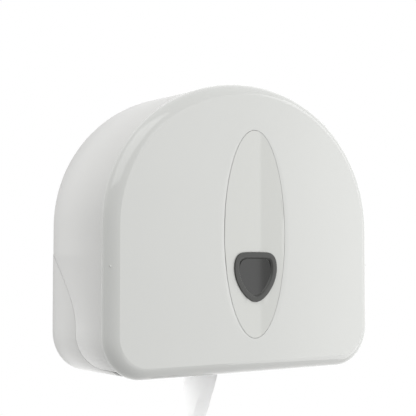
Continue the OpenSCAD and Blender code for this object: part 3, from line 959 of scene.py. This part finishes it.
def buildCoverShell():
    front = jointY + shell["jointGap"]
    wall = addWall("coverShell", outline["proud"], shellHigh.y, front, outline["wall"])
    cutAway(wall, addSeamPrism("seamCut", -seam["gap"], seam["gap"]))
    cutAway(wall, addRod(
        "lockCut", "Z", (0, lockY, outline["top"]), shell["cutLength"], shell["lockHole"]))
    softenEdges(wall, shell["edge"], angle=50)
    thick = shell["tabThickness"]
    tabs = joinPieces("tabs", [
        addRod("tab", "Y", (x, jointY + thick / 2, z), thick, shell["tabRadius"]) for x, z in bossPlaces()])
    inset = outline["skin"] - outline["wall"] / 4
    cutAway(tabs, addSlab("inside", inset, jointY + shell["reach"], jointY - shell["reach"]), "INTERSECT")
    for x, z in bossPlaces():
        cutAway(tabs, addRod(
            "screwCut", "Y", (x, jointY, z), shell["cutLength"], shell["tabHole"], shell["tabSteps"]))
    softenEdges(tabs, shell["tabEdge"])
    wall = joinPieces("coverShell", [wall, tabs])
    smooth(wall)
    dress(wall, "satinWhite", "cover", "satin_white", "cover_shell")


tray = {
    "front": jointY + 17 * mm,
    "exitHalf": 35 * mm,
    "exitBack": -6.5 * mm,
    "rimHeight": 15 * mm,
    "rimEdge": 0.8 * mm,
    "flangeWidth": 16 * mm,
    "flangeBack": -3 * mm,
    "flangeWall": 2.5 * mm,
    "flangeGap": 2 * mm,  # below the seam
    "hollowReach": 20 * mm,
    "earDepth": 8 * mm,
    "earLow": 4 * mm,
    "edge": 0.4 * mm,
}


def buildLowerHousing():
    wide = outline["width"]
    front, inset = tray["front"], outline["proud"]
    walls = addWall("lowerHousing", inset, 0, jointY + seam["gap"], outline["wall"])
    cutAway(walls, addSeamPrism("seamKeep", 0, 0), "INTERSECT")
    cutAway(walls, addBlock(
        "noseCut", (-wide, jointY - overlap, foot - overlap),
        (wide, front, foot + outline["cornerRadius"])))
    back = tray["flangeBack"]
    flange = addSlab("flange", outline["skin"] - overlap, back, back - tray["flangeWall"])
    cutAway(flange, addSlab("hollow", outline["skin"] + tray["flangeWidth"], 0, -tray["hollowReach"]))
    cutAway(flange, addSeamPrism("flangeKeep", 0, -tray["flangeGap"]), "INTERSECT")
    parts = [walls, flange]
    for part in parts:
        cutAway(part, addBlock(
            "exitCut", (-tray["exitHalf"], front - overlap, foot - overlap),
            (tray["exitHalf"], tray["exitBack"], foot + 2 * tray["rimHeight"])))
        softenEdges(part, tray["edge"], angle=50)
    for sign in (1, -1):
        inner, outer = tray["exitHalf"], tray["exitHalf"] + outline["wall"]
        low, high = sorted((sign * inner, sign * outer))
        rim = addBlock(
            "rim", (low, front, foot + inset), (high, tray["exitBack"], foot + inset + tray["rimHeight"]))
        softenEdges(rim, tray["rimEdge"], segments=3)
        depth = front + tray["earDepth"]
        ear = addHingeEye(
            "ear", sign * (hinge["earX"] + hinge["width"] / 2),
            ((hinge["y"], hinge["z"] - tray["earLow"]), (depth, hinge["z"] + hinge["radius"])),
            ((front, foot + inset), (depth, hinge["z"])))
        parts += [rim, ear]
    housing = joinPieces("lowerHousing", parts)
    smooth(housing)
    dress(housing, "satinWhite", "housing", "satin_white", "lower_housing")


# Screws with a pan head and a cross recess; each length is modelled once and copied
# headCurve goes by shares of the head's radius and height, from the shank to the middle
screw = {
    "shank": 1.6 * mm,
    "head": 3.2 * mm,
    "headHeight": 2 * mm,
    "headCurve": [(1, 0), (1, 0.35), (0.93, 0.65), (0.75, 0.88), (0.45, 1), (0, 1)],
    "tip": 0.7,  # share of the shank's radius
    "tipLength": 0.8 * mm,
    "crossLength": 3.8 * mm,
    "crossWidth": 0.8 * mm,
    "crossDepth": 1.1 * mm,
    "steps": 32,
    "sideZ": -60 * mm,  # the housing's screws
    "lowX": 110 * mm,
    "bladeHeadHeight": 1.4 * mm,
    "axleHead": 4.8 * mm,
}
screwLengths = {
    "housing": 5.1 * mm, "panel": 8.5 * mm, "blade": 3.5 * mm, "axle": 17.5 * mm, "cam": 8.5 * mm}


def makeScrew(length, head=screw["head"], height=screw["headHeight"]):
    shank = screw["shank"]
    profile = [
        (0, -length), (screw["tip"] * shank, -length), (shank, -length + screw["tipLength"]), (shank, 0)]
    profile += [(share * head, rise * height) for share, rise in screw["headCurve"]]
    body = turnOnLathe("screw", profile, screw["steps"])
    long, wide = screw["crossLength"] / 2, screw["crossWidth"] / 2
    for across, up in ((long, wide), (wide, long)):
        cutAway(body, addBlock(
            "cross", (-across, -height - overlap, -up), (across, -height + screw["crossDepth"], up)))
    smooth(body)
    return body


def placeScrews(name, model, seats, body, *nodes):  # each seat: its place and where the head looks
    for number, (place, facing) in enumerate(seats, 1):
        copy = addObject(f"{name}{number}", model.data.copy())
        copy.rotation_euler = Vector((0, -1, 0)).rotation_difference(Vector(facing)).to_euler()
        copy.location = place
        applyPlace(copy)
        dress(copy, "steel", body, "steel", *nodes)
    bpy.data.objects.remove(model)


def buildScrews():
    seat = tray["flangeBack"] - tray["flangeWall"]
    flangeMiddle = outline["skin"] + tray["flangeWidth"] / 2
    front = (0, -1, 0)
    places = [(x, seat, screw["sideZ"]) for x in mirrored(outline["width"] / 2 - flangeMiddle)]
    places += [(x, seat, foot + flangeMiddle) for x in mirrored(screw["lowX"])]
    model = makeScrew(screwLengths["housing"])
    placeScrews("housingScrew", model, [(place, front) for place in places], "housing", "housing_screws")
    low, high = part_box("keeper_screws")
    middle = (low.z + high.z) / 2
    seats = [((x, seat, middle), front) for x in (low.x + screw["head"], high.x - screw["head"])]
    placeScrews("keeperScrew", makeScrew(screwLengths["housing"]), seats, "housing", "keeper_screws")
    seats = [((x, jointY + shell["tabThickness"], z), (0, 1, 0)) for x, z in bossPlaces()]
    placeScrews("panelScrew", makeScrew(screwLengths["panel"]), seats, "cover", "panel_screws")
    low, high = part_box("blade_screws")
    head = (high.z - low.z) / 2
    bladeX = tray["exitHalf"] - overlap
    seats = [((sign * bladeX, y, (low.z + high.z) / 2), (-sign, 0, 0))
             for sign in (1, -1) for y in (low.y + head, high.y - head)]
    model = makeScrew(screwLengths["blade"], head, screw["bladeHeadHeight"])
    placeScrews("bladeScrew", model, seats, "housing", "blade_screws")
    seats = [((0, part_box("axle_screw")[0].y + screw["headHeight"], 0), front)]
    model = makeScrew(screwLengths["axle"], screw["axleHead"])
    placeScrews("axleScrew", model, seats, "housing", "axle_screw")
    seats = [((0, lockY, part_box("cam_screw")[0].z + screw["headHeight"]), (0, 0, -1))]
    placeScrews("camScrew", makeScrew(screwLengths["cam"]), seats, "lock", "cam_screw")


# The jumbo roll on its hub
roll = {
    "radius": 95 * mm,
    "core": 30 * mm,
    "coreWall": 1.6 * mm,
    "coreGap": 0.1 * mm,
    "edge": 1.2 * mm,
    "coreEdge": 0.2 * mm,
    "steps": 160,
    "axle": 8.06 * mm,
    "sleeve": 10.46 * mm,
    "sleeveEdge": 0.3 * mm,
    "disc": 3 * mm,
    "discs": 3,
    "discGap": 0.05 * mm,
    "discEdge": 0.4 * mm,
    "fins": 6,
    "finWidth": 1.6 * mm,
    "finGap": 3 * mm,
}
rollFront, rollBack = (corner.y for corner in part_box("paper_roll"))


def buildRoll():
    back, front = -rollBack, -rollFront
    paper = turnOnLathe("paperRoll", ringProfile(
        roll["core"] + roll["coreGap"], roll["radius"], back, front, roll["edge"]), roll["steps"])
    smooth(paper, angle=50)
    dress(paper, "rollPaper", "roll", "tissue", "paper_roll")
    coreInner = roll["core"] - roll["coreWall"]
    core = turnOnLathe("cardboardCore", ringProfile(coreInner, roll["core"], back, front, roll["coreEdge"]))
    smooth(core, angle=50)
    dress(core, "cardboard", "roll", "cardboard", "cardboard_core")
    parts = [turnOnLathe(
        "sleeve", ringProfile(roll["axle"], roll["sleeve"], back, front, roll["sleeveEdge"]))]
    inner, outer, disc = roll["sleeve"] - overlap, coreInner - roll["discGap"], roll["disc"]
    pitch = (front - back - disc) / (roll["discs"] - 1)
    for number in range(roll["discs"]):
        start = back + number * pitch
        parts.append(turnOnLathe("disc", ringProfile(inner, outer, start, start + disc, roll["discEdge"])))
    for number in range(roll["fins"]):
        fin = addBlock(
            "fin", (inner, -front + disc / 2, -roll["finWidth"] / 2),
            (coreInner - roll["finGap"], -back - disc / 2, roll["finWidth"] / 2))
        fin.rotation_euler = (0, number * 2 * math.pi / roll["fins"], 0)
        applyPlace(fin)
        parts.append(fin)
    hub = joinPieces("coreAdapter", parts)
    smooth(hub)
    dress(hub, "adapterGrey", "roll", "adapter_grey", "core_adapter")


# The hanging sheet: leaves the roll on the right and hangs through the exit, twisted and creased
tail = {
    "leaveAngle": math.radians(-43.1),
    "clear": 0.55 * mm,  # off the roll
    "start": 45 * mm,  # how far it runs straight on from the roll
    "arrive": 30 * mm,  # and straight down to the exit
    "exitX": (-9.5 * mm, -22.8 * mm),  # at the rear and the front edge, as are the leans
    "lean": (0.0, -0.364),  # sideways for each metre down
    "rearCurl": -4.1,  # per metre: the rear edge swings away further down
    "hangs": 58 * mm,  # so far down, then the end leans otherwise
    "endLean": (-0.35, -0.25),
    "drop": 104 * mm,
    "foldAt": 0.74,  # share of the width
    "foldDepth": 7 * mm,
    "foldFrom": 6 * mm,  # below the exit it deepens from here
    "foldTo": 34 * mm,  # to here
    "foldCurve": 1.15,
    "wave": 0.9 * mm,
    "waveSize": 26 * mm,
    "crinkle": 0.35 * mm,
    "crinkleSize": 7 * mm,
    "crinkleShift": (7, 3, 1),
    "looseFrom": 0.05,  # shares of the length, between which it takes up its waves
    "looseTo": 0.6,
    "wall": 0.3 * mm,
    "insideShare": 0.5,  # of the length, from the roll to the exit
    "steps": (64, 170),
    "measureSteps": 400,
}


def blendOver(value, start, stop):
    share = min(max((value - start) / (stop - start), 0), 1)
    return share * share * (3 - 2 * share)


def tailBelow(across, drop):  # how far left the sheet hangs at this drop below the foot
    hung = min(drop, tail["hangs"])
    beyond = drop - hung
    rear = tail["exitX"][0] + tail["rearCurl"] * hung ** 2 + tail["endLean"][0] * beyond
    front = tail["exitX"][1] + tail["lean"][1] * hung + tail["endLean"][1] * beyond
    fold = tail["foldAt"]
    near = across / fold if across < fold else (1 - across) / (1 - fold)
    depth = tail["foldDepth"] * blendOver(drop, tail["foldFrom"], tail["foldTo"])
    return rear + (front - rear) * across - depth * near ** tail["foldCurve"]


def tailPoint(across, along):
    y = rollBack + (rollFront - rollBack) * across
    if along < tail["insideShare"]:
        t = along / tail["insideShare"]
        angle = tail["leaveAngle"]
        out = Vector((math.cos(angle), 0, math.sin(angle)))
        down = Vector((math.sin(angle), 0, -math.cos(angle)))
        leave = out * (roll["radius"] + tail["clear"])
        exitX = tailBelow(across, 0)
        lean = tail["lean"][0] + (tail["lean"][1] - tail["lean"][0]) * across
        arrive = Vector((exitX, 0, foot))
        before = arrive + Vector((-lean, 0, 1)) * tail["arrive"]
        after = leave + down * tail["start"]
        s = 1 - t
        place = leave * s ** 3 + after * 3 * s * s * t + before * 3 * s * t * t + arrive * t ** 3
    else:
        drop = (along - tail["insideShare"]) / (1 - tail["insideShare"]) * tail["drop"]
        place = Vector((tailBelow(across, drop), 0, foot - drop))
    place.y = y
    loose = blendOver(along, tail["looseFrom"], tail["looseTo"])
    wave = noise.noise(place / tail["waveSize"]) * tail["wave"]
    crinkle = noise.noise(place / tail["crinkleSize"] + Vector(tail["crinkleShift"])) * tail["crinkle"]
    place.x += (wave + crinkle) * loose
    return place


def buildTail():
    clearSelection()
    across, along = tail["steps"]
    bpy.ops.mesh.primitive_grid_add(x_subdivisions=across, y_subdivisions=along, size=1)
    sheet = takeNew("paperTail")
    for vertex in sheet.data.vertices:
        vertex.co = tailPoint(vertex.co.x + 0.5, vertex.co.y + 0.5)
    applyModifier(sheet, "SOLIDIFY", thickness=tail["wall"], offset=0, use_even_offset=False)
    smooth(sheet, angle=60)
    dress(sheet, "tissue", "housing", "tissue", "paper_tail")
    steps = tail["measureSteps"]
    run = [tailPoint(0.5, step / steps) for step in range(steps + 1)]
    length = sum((b - a).length for a, b in zip(run, run[1:]))
    print("tail length", round(length, 4))


print("building the cover")
buildFrontPanel()
buildPanelBacks()
buildInlay()
buildWindow()
buildCoverShell()
refineNode("window_retainer", "windowRetainer", "innerGrey", "cover", "inner_grey")
refineNode("lock_housing", "lockHousing", "innerGrey", "cover", "inner_grey")

print("building the housing")
buildLowerHousing()
refineNode("back_plate", "backPlate", "satinWhite", "housing", "satin_white", edge=0.4 * mm)
for side in ("left", "right"):
    name = f"tearBlade{side.title()}"
    refineNode(f"tear_blade_{side}", name, "stainless", "housing", "stainless", edge=0.12 * mm)
refineNode("latch_keeper", "latchKeeper", "steel", "housing", "steel", edge=0.5 * mm)
refineNode("hinge_pins", "hingePins", "steel", "housing", "steel", edge=0.4 * mm)
refineNode("spindle_axle", "spindleAxle", "steel", "housing", "steel", edge=0.6 * mm)
refineNode("brake_washer", "brakeWasher", "rubber", "housing", "washer_black", edge=0.15 * mm)
refineNode("axle_washer", "axleWasher", "steel", "housing", "steel", edge=0.2 * mm)

print("building the lock, the screws, the roll and its paper")
refineNode("lock_barrel", "lockBarrel", "steel", "lock", "steel", edge=0.35 * mm)
refineNode("lock_cam", "lockCam", "steel", "lock", "steel", edge=0.3 * mm)
buildScrews()
buildRoll()
buildTail()


# Studio: white surroundings, tall soft lights in front and at the right, and one at the upper left
studio = {
    "ambient": 0.36,  # what the white surroundings send onto the object
    "mirrored": 1.4,  # what they show of themselves in a reflection
    "seen": 1.0,  # as a background, also through something clear
}

lights = {
    # tall softbox in front
    "frontBox": {
        "at": (0.43, -1.557, 0), "aim": (0, -0.12, 0), "size": (1.252, 2.4), "radiance": 1.2},
    # tall panel to the right
    "rightPanel": {
        "at": (1.169, -0.736, 0), "aim": (0.02, -0.128, 0), "size": (0.916, 2.4), "radiance": 1.45},
    # softbox at the upper left, which the bead mirrors as a long streak
    "upperLeft": {
        "at": (-0.987, -0.49, 1.28), "aim": (-0.15, -0.1, 0.1), "size": (1.5, 1.5), "radiance": 1.85},
    # bright patches of the wall beside the dispenser and behind the paper, not seen in reflections
    "wallBeside": {
        "at": (-0.31, 0.012, 0.02), "aim": (-0.31, -1, 0.02), "size": (0.22, 0.75), "radiance": 0.68,
        "mirrored": False},
    "wallBelow": {
        "at": (-0.03, 0.012, -0.28), "aim": (-0.03, -1, -0.28), "size": (0.45, 0.23), "radiance": 1.2,
        "mirrored": False},
}


def addAreaLight(name, light):
    width, height = light["size"]
    lamp = bpy.data.lights.new(name, "AREA")
    lamp.shape = "RECTANGLE"
    lamp.size = width
    lamp.size_y = height
    lamp.energy = light["radiance"] * math.pi * width * height
    holder = addObject(name, lamp)
    holder.location = light["at"]
    toward = Vector(light["aim"]) - Vector(light["at"])
    holder.rotation_euler = toward.to_track_quat("-Z", "Y").to_euler()
    holder.visible_camera = False
    holder.visible_glossy = light.get("mirrored", True)


def buildWorld():  # its strength depends on the kind of ray that meets it
    world = bpy.data.worlds.new("studioWhite")
    bpy.context.scene.world = world
    world.use_nodes = True
    tree = world.node_tree
    tree.nodes.clear()
    path = addNode(tree, "ShaderNodeLightPath").outputs
    strengths = {
        "Is Glossy Ray": studio["mirrored"], "Is Camera Ray": studio["seen"],
        "Is Transmission Ray": studio["seen"]}
    otherwise = {}
    for ray, strength in strengths.items():
        choice = addNode(
            tree, "ShaderNodeMapRange", inputs={"To Min": studio["ambient"], "To Max": strength},
            links={"Value": path[ray], **otherwise})
        otherwise = {"To Min": choice.outputs["Result"]}
    background = addNode(
        tree, "ShaderNodeBackground", inputs={"Color": (1, 1, 1, 1)},
        links={"Strength": choice.outputs["Result"]})
    addNode(tree, "ShaderNodeOutputWorld", links={"Surface": background.outputs["Background"]})


# The camera, solved from the outline in the photograph
view = {
    "at": (-0.72117, -1.03270, -0.03412),
    "tilt": math.radians(92.849),
    "turn": math.radians(-36),
    "sensor": 36,
    "lens": 90.85,
}


def buildStudio():
    buildWorld()
    for name, light in lights.items():
        addAreaLight(name, light)
    camera = addObject("camera", bpy.data.cameras.new("camera"))
    camera.location = view["at"]
    camera.rotation_euler = (view["tilt"], 0, view["turn"])
    camera.data.sensor_width = view["sensor"]
    camera.data.lens = view["lens"]
    bpy.context.scene.camera = camera
    bpy.context.scene.view_settings.view_transform = "Standard"


buildStudio()
print("studio built")
